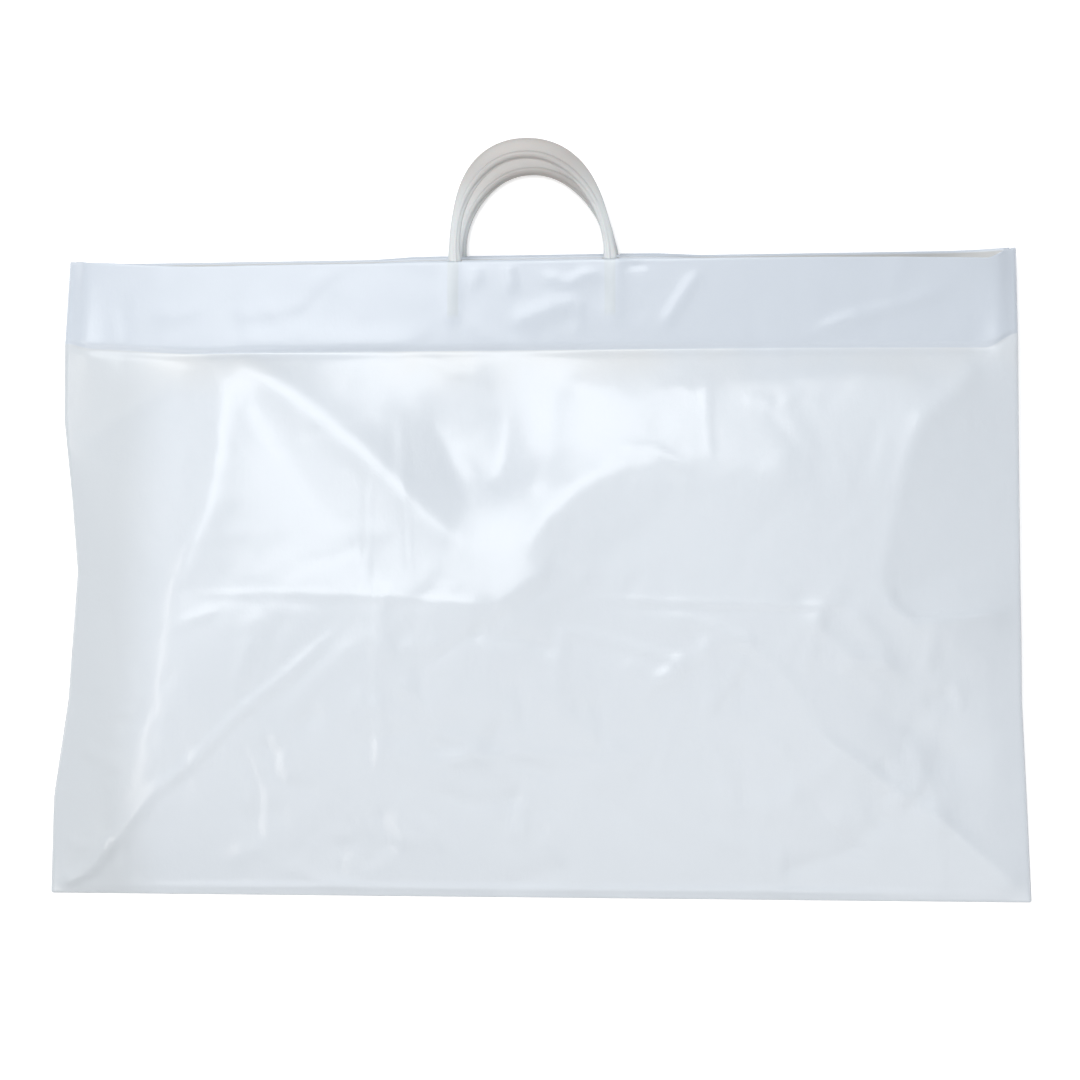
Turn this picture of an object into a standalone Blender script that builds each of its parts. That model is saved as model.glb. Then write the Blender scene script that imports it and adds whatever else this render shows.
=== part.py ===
"""A white plastic carrier bag with two loop handles, lying on its back.

One web of film makes the whole bag body. It is folded at the bottom, closed along both sides and
turned over inwards at the mouth, which leaves a hem of two plies on each panel. A soft plastic loop is
tucked into each hem. The bag holds some air, so its front panel stands up in broad facets that meet
along soft creases, and its side seams are lifted off the table.

Metres, +X to the bag's right side, +Y from the bottom fold to the handles, +Z up from the table.
"""

import math

import bmesh
import bpy
import numpy as np

MM = 0.001

# The bag as it is made, laid out flat.
BAG_WIDTH = 600 * MM
BAG_HEIGHT = 400 * MM
HEM_DEPTH = 55 * MM
HEM_STEP = 0.8 * MM
HEM_STEP_WIDTH = 2.5 * MM
FILM_THICKNESS = 0.4 * MM

# How far the air inside lifts it.
PUFF_HEIGHT = 42 * MM
MOUTH_HEIGHT = 25 * MM
SEAM_LIFT = 15 * MM
FRONT_TOP_SAG = 9 * MM
REAR_CURL = 48 * MM
SIDE_RISE = 100 * MM

# Folds: the radius of the edge folds, and the room between the two plies of a hem.
EDGE_RADIUS = 1.2 * MM
PLY_GAP = 0.7 * MM
SHOULDER = 1.3 * MM
HANDLE_ZONE_MARGIN = 20 * MM
HANDLE_ZONE_BLEND = 35 * MM
LEFT_SAG_BLEND = 90 * MM
RIGHT_SAG_BLEND = 20 * MM
MOUTH_EASE = 30 * MM

# The loop handles.
LOOP_SPACING = 97.5 * MM
LOOP_RISE = 70 * MM
LOOP_LEAN = 3.5 * MM
LOOP_SQUARENESS = 2.25
STEM_LENGTH = 44 * MM
STEM_WIDTH = 8 * MM
STEM_THICKNESS = 2.6 * MM
LEG_WIDTH = 6.8 * MM
LEG_THICKNESS = 3.2 * MM
GRIP_WIDTH = 13.5 * MM
GRIP_THICKNESS = 4.0 * MM
STEM_CLEARANCE = 0.4 * MM
SLOT_CLEARANCE = 0.3 * MM
FRONT_LOOP_LIFT = 16 * MM
FRONT_LOOP_SHIFT = -1.0 * MM
REAR_LOOP_SHIFT = 2.0 * MM
REAR_LOOP_SINK = 9 * MM
STEM_STAND = 2.5 * MM
STEM_TAPER = 9 * MM
GRIP_START = 0.35
OVAL_FULLNESS = 0.7

# Mesh density.
COLUMNS = 44
BODY_ROWS = 27
HEM_ROWS = 3
FOLD_ANGLES = (45, 90, 135)
LOOP_STEPS = 40
STEM_STEPS = 5
LOOP_SIDES = 12
FIELD_ACROSS = 121
FIELD_UP = 69
FIELD_PASSES = 3000
CREST_PASSES = 2
CREASE_SAMPLES = 60
FLAT_TOLERANCE = 0.0001 * MM

# How far each side seam is drawn in from the flat width, from the bottom fold (0) to the mouth (1).
LEFT_PULL = (
    (0, 0), (0.15, 1 * MM), (0.3, 9 * MM), (0.5, 13 * MM), (0.62, 8 * MM), (0.74, 2 * MM), (1, 0),
)
RIGHT_PULL = ((0, 0), (0.3, 4 * MM), (0.5, 3.5 * MM), (0.7, 2.5 * MM), (1, 0.5 * MM))

# How far each side seam stands off the table, as a share of SEAM_LIFT.
LEFT_LIFT = ((0, 0), (0.12, 0.25), (0.35, 0.55), (0.6, 0.75), (0.86, 1), (1, 0.5))
RIGHT_LIFT = ((0, 0), (0.15, 0.3), (0.4, 0.7), (0.65, 0.75), (0.86, 0.8), (1, 0.45))

# The creases of the front panel. Each point is its share of the width from the left seam, its share of
# the way from the bottom fold to the hem line, and its height as a share of PUFF_HEIGHT.
CREASES = {
    "left_ridge": (
        (0.163, 0.99, 0.64), (0.183, 0.89, 0.81), (0.175, 0.78, 0.90), (0.159, 0.69, 0.95),
        (0.117, 0.55, 1.00), (0.119, 0.49, 0.98), (0.113, 0.37, 0.88), (0.101, 0.25, 0.69),
        (0.075, 0.12, 0.38), (0.01, 0.02, 0.09),
    ),
    "fan_ridge": (
        (0.189, 0.99, 0.64), (0.225, 0.95, 0.71), (0.284, 0.87, 0.86), (0.329, 0.80, 0.93),
        (0.361, 0.74, 0.98), (0.384, 0.69, 1.00), (0.423, 0.63, 1.00), (0.456, 0.62, 0.98),
    ),
    "storage_fold": (
        (0.120, 0.54, 1.00), (0.326, 0.54, 0.98), (0.447, 0.52, 0.98), (0.467, 0.53, 0.97),
        (0.507, 0.58, 0.97),
    ),
    "left_hip": (
        (0.01, 0.02, 0.07), (0.074, 0.10, 0.26), (0.118, 0.19, 0.43), (0.153, 0.24, 0.57),
        (0.198, 0.33, 0.74), (0.247, 0.40, 0.86), (0.307, 0.50, 0.98),
    ),
    "bowl": ((0.365, 0.95, 0.66), (0.405, 0.85, 0.72), (0.434, 0.72, 0.86)),
    "bowl_rim": ((0.490, 0.90, 0.79), (0.483, 0.76, 0.93), (0.469, 0.66, 0.98)),
    "valley": (
        (0.457, 0.48, 0.88), (0.497, 0.53, 0.85), (0.543, 0.64, 0.86), (0.592, 0.71, 0.88),
        (0.645, 0.74, 0.93),
    ),
    "hump": ((0.570, 0.78, 1.00), (0.733, 0.80, 1.00), (0.823, 0.76, 0.98)),
    "right_fold": ((0.526, 0.52, 0.90), (0.618, 0.53, 0.95), (0.771, 0.52, 0.98), (0.85, 0.52, 0.95)),
    "low_arc": ((0.371, 0.23, 0.62), (0.489, 0.26, 0.69), (0.595, 0.23, 0.64), (0.633, 0.21, 0.60)),
    "middle_arc": ((0.521, 0.48, 0.88), (0.585, 0.46, 0.90), (0.647, 0.43, 0.90), (0.678, 0.39, 0.88)),
    "upper_arc": ((0.646, 0.50, 0.95), (0.717, 0.46, 0.95), (0.750, 0.41, 0.90), (0.778, 0.35, 0.83)),
    "right_hip": ((0.778, 0.35, 0.83), (0.794, 0.29, 0.74), (0.915, 0.14, 0.36), (0.98, 0.03, 0.08)),
    "right_ridge": (
        (0.934, 0.92, 0.67), (0.899, 0.86, 0.81), (0.881, 0.78, 0.88), (0.867, 0.68, 0.95),
        (0.856, 0.60, 0.98), (0.853, 0.54, 0.98), (0.859, 0.51, 0.95), (0.877, 0.49, 0.88),
        (0.921, 0.50, 0.71), (0.966, 0.51, 0.48),
    ),
}


def interpolate(points, at):
    """Read a list of (place, value) points at a place, in straight runs."""
    places = [place for place, _ in points]
    values = [value for _, value in points]
    return float(np.interp(at, places, values))


def smooth_step(value):
    """Run from 0 to 1 with level ends."""
    clamped = min(max(value, 0.0), 1.0)
    return clamped * clamped * (3 - 2 * clamped)


def remove_scene_objects():
    for item in list(bpy.data.objects):
        bpy.data.objects.remove(item, do_unlink=True)


def plastic(name, colour, roughness):
    material = bpy.data.materials.new(name)
    material.use_nodes = True
    shader = material.node_tree.nodes["Principled BSDF"]
    shader.inputs["Base Color"].default_value = (*colour, 1.0)
    shader.inputs["Roughness"].default_value = roughness
    shader.inputs["Metallic"].default_value = 0.0
    material.diffuse_color = (*colour, 1.0)
    return material


def mesh_object(name, mesh_edit, material):
    mesh = bpy.data.meshes.new(name)
    mesh_edit.to_mesh(mesh)
    mesh_edit.free()
    mesh.materials.append(material)
    item = bpy.data.objects.new(name, mesh)
    bpy.context.scene.collection.objects.link(item)
    return item


# The lie of the bag: where its seams, its hem line and its mouth are.

BOTTOM_Y = -BAG_HEIGHT / 2
TOP_Y = BAG_HEIGHT / 2
HEM_LINE_Y = TOP_Y - HEM_DEPTH
HEM_STEP_SHARE = HEM_STEP_WIDTH / HEM_DEPTH
EDGE_HEIGHT = 2 * EDGE_RADIUS
HANDLE_PLY_GAP = STEM_THICKNESS + 2 * STEM_CLEARANCE
HANDLE_ZONE = LOOP_SPACING / 2 + STEM_WIDTH / 2 + HANDLE_ZONE_MARGIN


def left_seam_x(up):
    return -BAG_WIDTH / 2 + interpolate(LEFT_PULL, up)


def right_seam_x(up):
    return BAG_WIDTH / 2 - interpolate(RIGHT_PULL, up)


def seam_z(up, lift):
    """Height of the very edge of the film at a side seam."""
    return EDGE_RADIUS + SEAM_LIFT * interpolate(lift, up)


def ease_out(value):
    """Run from 0 to 1, steep at first and level at the end."""
    clamped = min(max(value, 0.0), 1.0)
    return 1 - (1 - clamped) ** 2


def front_top_y(across):
    """The front panel's mouth edge, which the lift of the panel draws back from the rear one's."""
    left = smooth_step(across * BAG_WIDTH / LEFT_SAG_BLEND)
    right = smooth_step((1 - across) * BAG_WIDTH / RIGHT_SAG_BLEND)
    return TOP_Y - FRONT_TOP_SAG * left * right


def hem_gap(x):
    """Distance between the facing sides of the two plies of a hem, wider where the stems lie."""
    beyond = (abs(x) - HANDLE_ZONE) / HANDLE_ZONE_BLEND
    return HANDLE_PLY_GAP + (PLY_GAP - HANDLE_PLY_GAP) * smooth_step(beyond)


def ply_step(x):
    """Distance from a face of the outer ply to the same face of the turned-in ply."""
    return 2 * FILM_THICKNESS + hem_gap(x)


def seam_front_z(across, up):
    """Height of the front panel where it leaves the nearer seam."""
    left = seam_z(up, LEFT_LIFT)
    right = seam_z(up, RIGHT_LIFT)
    return (left if across < 0.5 else right) + EDGE_RADIUS


def hem_height(across, up_hem):
    """Height of the front panel's hem, from the hem line (0) to the mouth (1).

    The second ply inside lifts the hem a little above the single film below the hem line.
    """
    up = 1 - (1 - up_hem) * HEM_DEPTH / BAG_HEIGHT
    reach = SIDE_RISE + MOUTH_EASE * up_hem
    from_seam = min(across, 1 - across) * BAG_WIDTH
    edge = seam_front_z(across, up)
    step = HEM_STEP * min(up_hem / HEM_STEP_SHARE, 1.0)
    return edge + (MOUTH_HEIGHT - edge) * ease_out(from_seam / reach) + step


def panel_heights():
    """Heights of the front panel on a regular grid, from the bottom fold to the hem line.

    The film is taut between its creases, so each height there settles at the mean of its neighbours,
    while the seams, the bottom fold, the hem line and the creases are held.
    """
    heights = np.full((FIELD_UP, FIELD_ACROSS), PUFF_HEIGHT / 2)
    held = np.zeros((FIELD_UP, FIELD_ACROSS), dtype=bool)
    for points in CREASES.values():
        for (u0, v0, h0), (u1, v1, h1) in zip(points, points[1:]):
            for step in np.linspace(0, 1, CREASE_SAMPLES):
                column = round((u0 + (u1 - u0) * step) * (FIELD_ACROSS - 1))
                row = round((v0 + (v1 - v0) * step) * (FIELD_UP - 1))
                heights[row, column] = (h0 + (h1 - h0) * step) * PUFF_HEIGHT
                held[row, column] = True
    body_share = 1 - HEM_DEPTH / BAG_HEIGHT
    for row in range(FIELD_UP):
        up = row / (FIELD_UP - 1) * body_share
        heights[row, 0] = seam_front_z(0, up)
        heights[row, -1] = seam_front_z(1, up)
    heights[0, :] = EDGE_HEIGHT
    for column in range(FIELD_ACROSS):
        heights[-1, column] = hem_height(column / (FIELD_ACROSS - 1), 0)
    held[0, :] = held[-1, :] = True
    held[:, 0] = held[:, -1] = True
    free = ~held[1:-1, 1:-1]
    for _ in range(FIELD_PASSES):
        mean = (heights[:-2, 1:-1] + heights[2:, 1:-1] + heights[1:-1, :-2] + heights[1:-1, 2:]) / 4
        heights[1:-1, 1:-1][free] = mean[free]
    for _ in range(CREST_PASSES):
        # One soft pass rounds each crest by about one step of the grid.
        mean = (heights[:-2, 1:-1] + heights[2:, 1:-1] + heights[1:-1, :-2] + heights[1:-1, 2:]) / 4
        heights[1:-1, 1:-1] = (heights[1:-1, 1:-1] + mean) / 2
    return heights


def read_field(heights, across, up_body):
    """Bilinear reading of the height grid."""
    column = min(max(across, 0.0), 1.0) * (FIELD_ACROSS - 1)
    row = min(max(up_body, 0.0), 1.0) * (FIELD_UP - 1)
    c0 = min(int(column), FIELD_ACROSS - 2)
    r0 = min(int(row), FIELD_UP - 2)
    fc = column - c0
    fr = row - r0
    low = heights[r0, c0] * (1 - fc) + heights[r0, c0 + 1] * fc
    high = heights[r0 + 1, c0] * (1 - fc) + heights[r0 + 1, c0 + 1] * fc
    return low * (1 - fr) + high * fr


# The film: a stack of closed rings, each running along the front panel and back along the rear one.


def ring_points(up_body, up_hem, heights, inner=False):
    """One ring of a ply: the left seam, the front panel, the right seam and back along the rear panel.

    up_body runs from the bottom fold to the hem line. Above it, up_hem runs on to the mouth.
    The inner ply of the hem lies inside the outer one.
    """
    fold_y = BOTTOM_Y + EDGE_RADIUS
    rear_y = fold_y + up_body * (HEM_LINE_Y - fold_y) + up_hem * HEM_DEPTH
    up = (rear_y - BOTTOM_Y) / BAG_HEIGHT
    x_left = left_seam_x(up)
    x_right = right_seam_x(up)
    width = x_right - x_left

    def front(across):
        x = x_left + across * width
        hem_y = front_top_y(across) - HEM_DEPTH
        y = fold_y + up_body * (hem_y - fold_y) + up_hem * HEM_DEPTH
        z = read_field(heights, across, up_body) if up_hem == 0 else hem_height(across, up_hem)
        return (x, y, z - ply_step(x) if inner else z)

    def rear(across):
        x = x_left + across * width
        lift = LEFT_LIFT if across < 0.5 else RIGHT_LIFT
        inwards = min(x - x_left, x_right - x) / REAR_CURL
        z = (seam_z(up, lift) - EDGE_RADIUS) * max(1 - inwards, 0.0) ** 2
        return (x, rear_y, z + ply_step(x) if inner else z)

    edge = SHOULDER / width
    shares = [edge] + [i / COLUMNS for i in range(1, COLUMNS)] + [1 - edge]
    ring = [(x_left, rear_y, seam_z(up, LEFT_LIFT))]
    ring += [front(share) for share in shares]
    ring += [(x_right, rear_y, seam_z(up, RIGHT_LIFT))]
    ring += [rear(share) for share in reversed(shares)]
    return ring


def turned_over(outer, inner, angle):
    """A row of the fold at the mouth, part of the way from the outer ply to the inner one."""
    turn = math.radians(angle)
    share = (1 - math.cos(turn)) / 2
    row = []
    for (x, y, z), (_, _, inner_z) in zip(outer, inner):
        crest = ply_step(x) / 2 * math.sin(turn)
        row.append((x, y + crest, z + (inner_z - z) * share))
    return row


def add_strip(edit, lower, upper, closed):
    """Faces between two rows of points, which run all the way round if closed."""
    count = len(lower)
    for i in range(count if closed else count - 1):
        j = (i + 1) % count
        edit.faces.new((lower[i], upper[i], upper[j], lower[j]))


def film_mesh():
    heights = panel_heights()
    hem_levels = [0.0, HEM_STEP_SHARE] + [row / HEM_ROWS for row in range(1, HEM_ROWS + 1)]
    rings = [ring_points(row / BODY_ROWS, 0.0, heights) for row in range(BODY_ROWS)]
    rings += [ring_points(1.0, level, heights) for level in hem_levels]
    mouth = rings[-1]
    inner_rings = [ring_points(1.0, level, heights, inner=True) for level in reversed(hem_levels)]
    turned_rings = [turned_over(mouth, inner_rings[0], angle) for angle in FOLD_ANGLES]

    edit = bmesh.new()
    rows = [[edit.verts.new(point) for point in ring] for ring in rings]
    for lower, upper in zip(rows, rows[1:]):
        add_strip(edit, lower, upper, closed=True)
    # The turned-in plies stop one column short of the seams, on the front and on the rear panel.
    front_span = slice(2, COLUMNS + 1)
    rear_span = slice(COLUMNS + 4, 2 * COLUMNS + 3)
    for span in (front_span, rear_span):
        last = rows[-1][span]
        for ring in turned_rings + inner_rings:
            row = [edit.verts.new(point) for point in ring[span]]
            add_strip(edit, last, row, closed=False)
            last = row
    close_bottom(edit, rows[0])
    bmesh.ops.recalc_face_normals(edit, faces=edit.faces)
    return edit


def close_bottom(edit, ring):
    """Join the front panel to the rear one round the bottom fold."""
    half = COLUMNS + 1
    front = ring[1:half + 1]
    rear = list(reversed(ring[half + 2:]))
    left_tip = ring[0]
    right_tip = ring[half + 1]
    fold = []
    for front_vertex in front:
        x, y, _ = front_vertex.co
        fold.append(edit.verts.new((x, y - EDGE_RADIUS, EDGE_RADIUS)))
    for i in range(len(front) - 1):
        edit.faces.new((fold[i], front[i], front[i + 1], fold[i + 1]))
        edit.faces.new((rear[i], fold[i], fold[i + 1], rear[i + 1]))
    edit.faces.new((left_tip, front[0], fold[0]))
    edit.faces.new((left_tip, fold[0], rear[0]))
    edit.faces.new((right_tip, fold[-1], front[-1]))
    edit.faces.new((right_tip, rear[-1], fold[-1]))


# The loops: one smooth path from the end of one stem over the grip to the end of the other.


def strand_x(side, height):
    """Where the middle of a strand is, at a height above the spring of the arch. side is -1 or 1."""
    rise = max(height, 0.0) / LOOP_RISE
    bow = (1 - rise ** LOOP_SQUARENESS) ** (1 / LOOP_SQUARENESS)
    return side * LOOP_SPACING / 2 * bow - LOOP_LEAN * rise


def loop_path(sink):
    """Points of a loop in its own plane, with the width and thickness of the strand at each.

    The mouth of the bag is at height 0. The stems run below it, and the arch springs from `sink` below.
    """
    path = []
    half = LOOP_SPACING / 2
    for step in range(STEM_STEPS):
        depth = -STEM_LENGTH * (1 - step / STEM_STEPS)
        path.append((-half, depth - sink, STEM_WIDTH, STEM_THICKNESS))
    for step in range(LOOP_STEPS + 1):
        angle = math.pi * (1 - step / LOOP_STEPS)
        sine = math.sin(angle)
        cosine = math.cos(angle)
        power = 2 / LOOP_SQUARENESS
        rise = abs(sine) ** power
        up = LOOP_RISE * rise - sink
        x = half * math.copysign(abs(cosine) ** power, cosine) - LOOP_LEAN * rise
        widen = smooth_step((rise - GRIP_START) / (1 - GRIP_START))
        leave = smooth_step((up - STEM_STAND) / STEM_TAPER)
        leg_width = STEM_WIDTH + (LEG_WIDTH - STEM_WIDTH) * leave
        leg_thickness = STEM_THICKNESS + (LEG_THICKNESS - STEM_THICKNESS) * leave
        width = leg_width + (GRIP_WIDTH - leg_width) * widen
        thickness = leg_thickness + (GRIP_THICKNESS - leg_thickness) * widen
        path.append((x, up, width, thickness))
    for step in range(STEM_STEPS):
        depth = -STEM_LENGTH * (step + 1) / STEM_STEPS
        path.append((half, depth - sink, STEM_WIDTH, STEM_THICKNESS))
    return path


def squared(value, size):
    """One coordinate of a flattened oval that is fuller than an ellipse."""
    return math.copysign(abs(value) ** OVAL_FULLNESS, value) * size / 2


def handle_mesh(mouth_y, mouth_z, shift, sink, lift):
    """Sweep the flattened strand along its path, lifted by `lift` at the grip."""
    path = loop_path(sink)
    grip_up = LOOP_RISE - sink
    drawn_in = grip_up - math.sqrt(grip_up ** 2 - lift ** 2)
    edit = bmesh.new()
    rings = []
    for i, (x, up, width, thickness) in enumerate(path):
        before = path[max(i - 1, 0)]
        after = path[min(i + 1, len(path) - 1)]
        along = (after[0] - before[0], after[1] - before[1])
        length = math.hypot(*along)
        across = (-along[1] / length, along[0] / length)
        rise = max(up, 0.0) / grip_up
        z = mouth_z + lift * rise * rise * (2 - rise)
        reach = up - drawn_in * rise * rise
        ring = []
        for side in range(LOOP_SIDES):
            turn = 2 * math.pi * (side + 0.5) / LOOP_SIDES
            flat = squared(math.cos(turn), width)
            tall = squared(math.sin(turn), thickness)
            place = (x + shift + across[0] * flat, mouth_y + reach + across[1] * flat, z + tall)
            ring.append(edit.verts.new(place))
        rings.append(ring)
    for first, second in zip(rings, rings[1:]):
        for i in range(LOOP_SIDES):
            j = (i + 1) % LOOP_SIDES
            edit.faces.new((first[i], first[j], second[j], second[i]))
    edit.faces.new(tuple(reversed(rings[0])))
    edit.faces.new(tuple(rings[-1]))
    bmesh.ops.recalc_face_normals(edit, faces=edit.faces)
    return edit


def box_cutter(name, low, high):
    edit = bmesh.new()
    bmesh.ops.create_cube(edit, size=1.0)
    for vertex in edit.verts:
        vertex.co = [low[k] if vertex.co[k] < 0 else high[k] for k in range(3)]
    cutter = mesh_object(name, edit, bpy.data.materials["white film"])
    cutter.hide_render = True
    cutter.display_type = "WIRE"
    return cutter


def build():
    remove_scene_objects()
    film_material = plastic("white film", (0.80, 0.84, 0.88), 0.32)
    handle_material = plastic("handle plastic", (0.66, 0.64, 0.61), 0.38)

    edit = film_mesh()
    flat_faces = [f for f in edit.faces if max(abs(v.co.z) for v in f.verts) < FLAT_TOLERANCE]
    bmesh.ops.dissolve_faces(edit, faces=flat_faces, use_verts=False)
    film = mesh_object("bag_film", edit, film_material)
    film.data.shade_smooth()
    wall = film.modifiers.new("wall", "SOLIDIFY")
    wall.thickness = FILM_THICKNESS
    wall.offset = -1.0
    wall.use_even_offset = True

    pocket_middle = FILM_THICKNESS + HANDLE_PLY_GAP / 2
    front_y = TOP_Y - FRONT_TOP_SAG
    front_z = MOUTH_HEIGHT + HEM_STEP - pocket_middle
    rear_z = pocket_middle
    half_width = STEM_WIDTH / 2 + SLOT_CLEARANCE
    half_height = STEM_THICKNESS / 2 + SLOT_CLEARANCE
    places = (
        ("front", front_y, front_z, FRONT_LOOP_SHIFT, 0.0),
        ("rear", TOP_Y, rear_z, REAR_LOOP_SHIFT, REAR_LOOP_SINK),
    )
    for name, mouth_y, mouth_z, shift, sink in places:
        for side, sign in (("left", -1), ("right", 1)):
            strand = (shift + strand_x(sign, sink), shift + strand_x(sign, sink + pocket_middle))
            cutter = box_cutter(
                f"{name}_{side}_slot",
                (min(strand) - half_width, mouth_y - FILM_THICKNESS / 2, mouth_z - half_height),
                (max(strand) + half_width, mouth_y + 2 * pocket_middle, mouth_z + half_height),
            )
            cut = film.modifiers.new(f"{name} {side} slot", "BOOLEAN")
            cut.operation = "DIFFERENCE"
            cut.solver = "EXACT"
            cut.object = cutter

    front = handle_mesh(front_y, front_z, FRONT_LOOP_SHIFT, 0.0, FRONT_LOOP_LIFT)
    mesh_object("handle_front", front, handle_material).data.shade_smooth()
    rear = handle_mesh(TOP_Y, rear_z, REAR_LOOP_SHIFT, REAR_LOOP_SINK, 0.0)
    mesh_object("handle_rear", rear, handle_material).data.shade_smooth()


build()
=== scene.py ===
# %% [markdown]
# # A white plastic carrier bag that lies on a table
#
# The object is one web of thin white film. It is folded at the bottom, welded along both sides and
# turned over inwards at the mouth, and a soft plastic loop is tucked into each of the two hems. The
# bag lies on its back with a little air inside, so its front panel stands up in broad soft facets.
#
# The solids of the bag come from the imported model. They fix every size and place, and the pieces that
# this script makes stand in for them with the fine shape and the finish of the real film.

# %% Load the frame
import math

import bpy
import numpy as np
from mathutils import Matrix, Vector


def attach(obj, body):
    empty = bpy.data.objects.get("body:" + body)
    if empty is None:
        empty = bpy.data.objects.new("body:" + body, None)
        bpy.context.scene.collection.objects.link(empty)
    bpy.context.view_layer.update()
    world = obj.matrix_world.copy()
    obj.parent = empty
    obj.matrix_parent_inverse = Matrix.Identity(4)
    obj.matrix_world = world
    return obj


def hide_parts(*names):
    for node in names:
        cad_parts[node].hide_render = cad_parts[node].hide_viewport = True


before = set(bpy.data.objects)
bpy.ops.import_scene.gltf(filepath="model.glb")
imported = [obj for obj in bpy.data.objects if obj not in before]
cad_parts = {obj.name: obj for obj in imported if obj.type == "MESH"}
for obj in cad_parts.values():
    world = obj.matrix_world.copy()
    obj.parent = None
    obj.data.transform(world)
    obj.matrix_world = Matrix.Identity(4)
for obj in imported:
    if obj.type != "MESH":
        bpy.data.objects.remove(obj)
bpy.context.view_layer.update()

print("solids:", sorted(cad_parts))

# %% [markdown]
# ## The camera
#
# The picture was taken from almost straight above, a little from the bottom side and a little from
# the right. A flat 600 x 400 mm sheet seen by this camera has the four corners of the bag in the
# right places, which is how the lens and the place were found. A longer lens from further away would
# flatten the view and lose the slight narrowing towards the handles.

# %% Camera
MM = 0.001
CAMERA_PLACE = (0.0998, -0.1299, 1.2)
CAMERA_TURN = (7.116, 4.533, 0.313)
LENS = 64.76
SENSOR = 36.0

camera = bpy.data.objects.new("camera", bpy.data.cameras.new("camera"))
bpy.context.scene.collection.objects.link(camera)
camera.data.sensor_width = SENSOR
camera.data.lens = LENS
camera.location = CAMERA_PLACE
camera.rotation_euler = [math.radians(angle) for angle in CAMERA_TURN]
bpy.context.scene.camera = camera
bpy.context.scene.view_settings.view_transform = "Standard"
print("the view is", round(2 * math.degrees(math.atan(SENSOR / 2 / LENS)), 1), "degrees wide")

# %% [markdown]
# ## Materials as sums
#
# A material is a graph of nodes, and a graph is easier to read as arithmetic. The class below wraps an
# output socket and overloads the operators, so `1 - mask * 0.5` adds the Math nodes by itself. Colours
# don't go through Math nodes, which would turn them grey, but through a Mix node.

# %% Node helper
class Socket:
    """One output of a node, which can be used in sums."""

    def __init__(self, graph, output):
        self.graph = graph
        self.output = output

    def joined(self, operation, first, second):
        return self.graph.node("ShaderNodeMath", {"operation": operation}, {0: first, 1: second})

    def __add__(self, other):
        return self.joined("ADD", self, other)

    def __sub__(self, other):
        return self.joined("SUBTRACT", self, other)

    def __rsub__(self, other):
        return self.joined("SUBTRACT", other, self)

    def __mul__(self, other):
        return self.joined("MULTIPLY", self, other)

    __radd__ = __add__
    __rmul__ = __mul__

    def most(self, other):
        return self.joined("MAXIMUM", self, other)

    def size(self):
        return self.graph.node("ShaderNodeMath", {"operation": "ABSOLUTE"}, {0: self})


print("sums on sockets ready")


# %% Material helper
class Graph:
    """The nodes of one material. Constants are named as the shader's sockets, with _ for a space."""

    def __init__(self, name, **constants):
        self.material = bpy.data.materials.new(name)
        self.material.use_nodes = True
        self.tree = self.material.node_tree
        self.shader = self.tree.nodes["Principled BSDF"]
        for socket, value in constants.items():
            self.shader.inputs[socket.replace("_", " ")].default_value = value

    def node(self, kind, settings, sockets, output=0):
        """Add a node, set it up, fill its sockets and hand back one of its outputs."""
        made = self.tree.nodes.new(kind)
        for name, value in settings.items():
            setattr(made, name, value)
        for key, value in sockets.items():
            if isinstance(value, Socket):
                self.tree.links.new(value.output, made.inputs[key])
            else:
                made.inputs[key].default_value = value
        return Socket(self, made.outputs[output])

    def feed(self, socket, value):
        self.tree.links.new(value.output, self.shader.inputs[socket])

    def place(self):
        """The point on the object, in metres from its origin."""
        return self.node("ShaderNodeTexCoord", {}, {}, "Object")

    def noise(self, where, scale, detail=3.0, roughness=0.5):
        sockets = {"Vector": where, "Scale": scale, "Detail": detail, "Roughness": roughness}
        return self.node("ShaderNodeTexNoise", {}, sockets, 0)

    def stretched(self, where, scale):
        return self.node("ShaderNodeMapping", {}, {"Vector": where, "Scale": scale})

    def axis(self, where, which):
        return self.node("ShaderNodeSeparateXYZ", {}, {"Vector": where}, which)

    def ramp(self, value, low, high):
        """0 below low and 1 above high, smooth between them."""
        sockets = {"Value": value, "From Min": low, "From Max": high}
        return self.node("ShaderNodeMapRange", {"interpolation_type": "SMOOTHSTEP"}, sockets)

    def mixed(self, factor, first, second):
        """Two colours mixed by a factor. Sockets 6 and 7 of a Mix node, and its output 2, are colours."""
        sockets = {0: factor}
        for key, value in ((6, first), (7, second)):
            sockets[key] = value if isinstance(value, Socket) else (*value, 1.0)
        return self.node("ShaderNodeMix", {"data_type": "RGBA"}, sockets, 2)

    def bump(self, height, distance, strength=1.0, normal=None):
        sockets = {"Height": height, "Distance": distance, "Strength": strength}
        if normal is not None:
            sockets["Normal"] = normal
        return self.node("ShaderNodeBump", {}, sockets)


print("material helper ready")

# %% [markdown]
# ## Table and light
#
# The bag lies on a plain pale table. The camera sees that table nearly white, which comes from a
# little glow that only camera, glossy and transmitted rays meet, so that it lights nothing. What is
# left of the table's own shading keeps the soft shadow round the bag.
#
# White film needs light with a direction, or it turns into a white patch. Three soft lamps could be one
# big one, but then every slope looks alike. The key lamp stands behind the handles, a little to the
# left, and makes the bright slopes of the bowl. A long narrow one at the left is like a window, and draws
# the bright band down the left side. A weak warm one in front keeps the lower half from turning grey.
# The world fills the rest.

# %% Table
TABLE_SIDE, TABLE_DROP = 8.0, 0.0003
TABLE_COLOUR, TABLE_GLOW = (0.86, 0.86, 0.86, 1.0), 0.42

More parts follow.
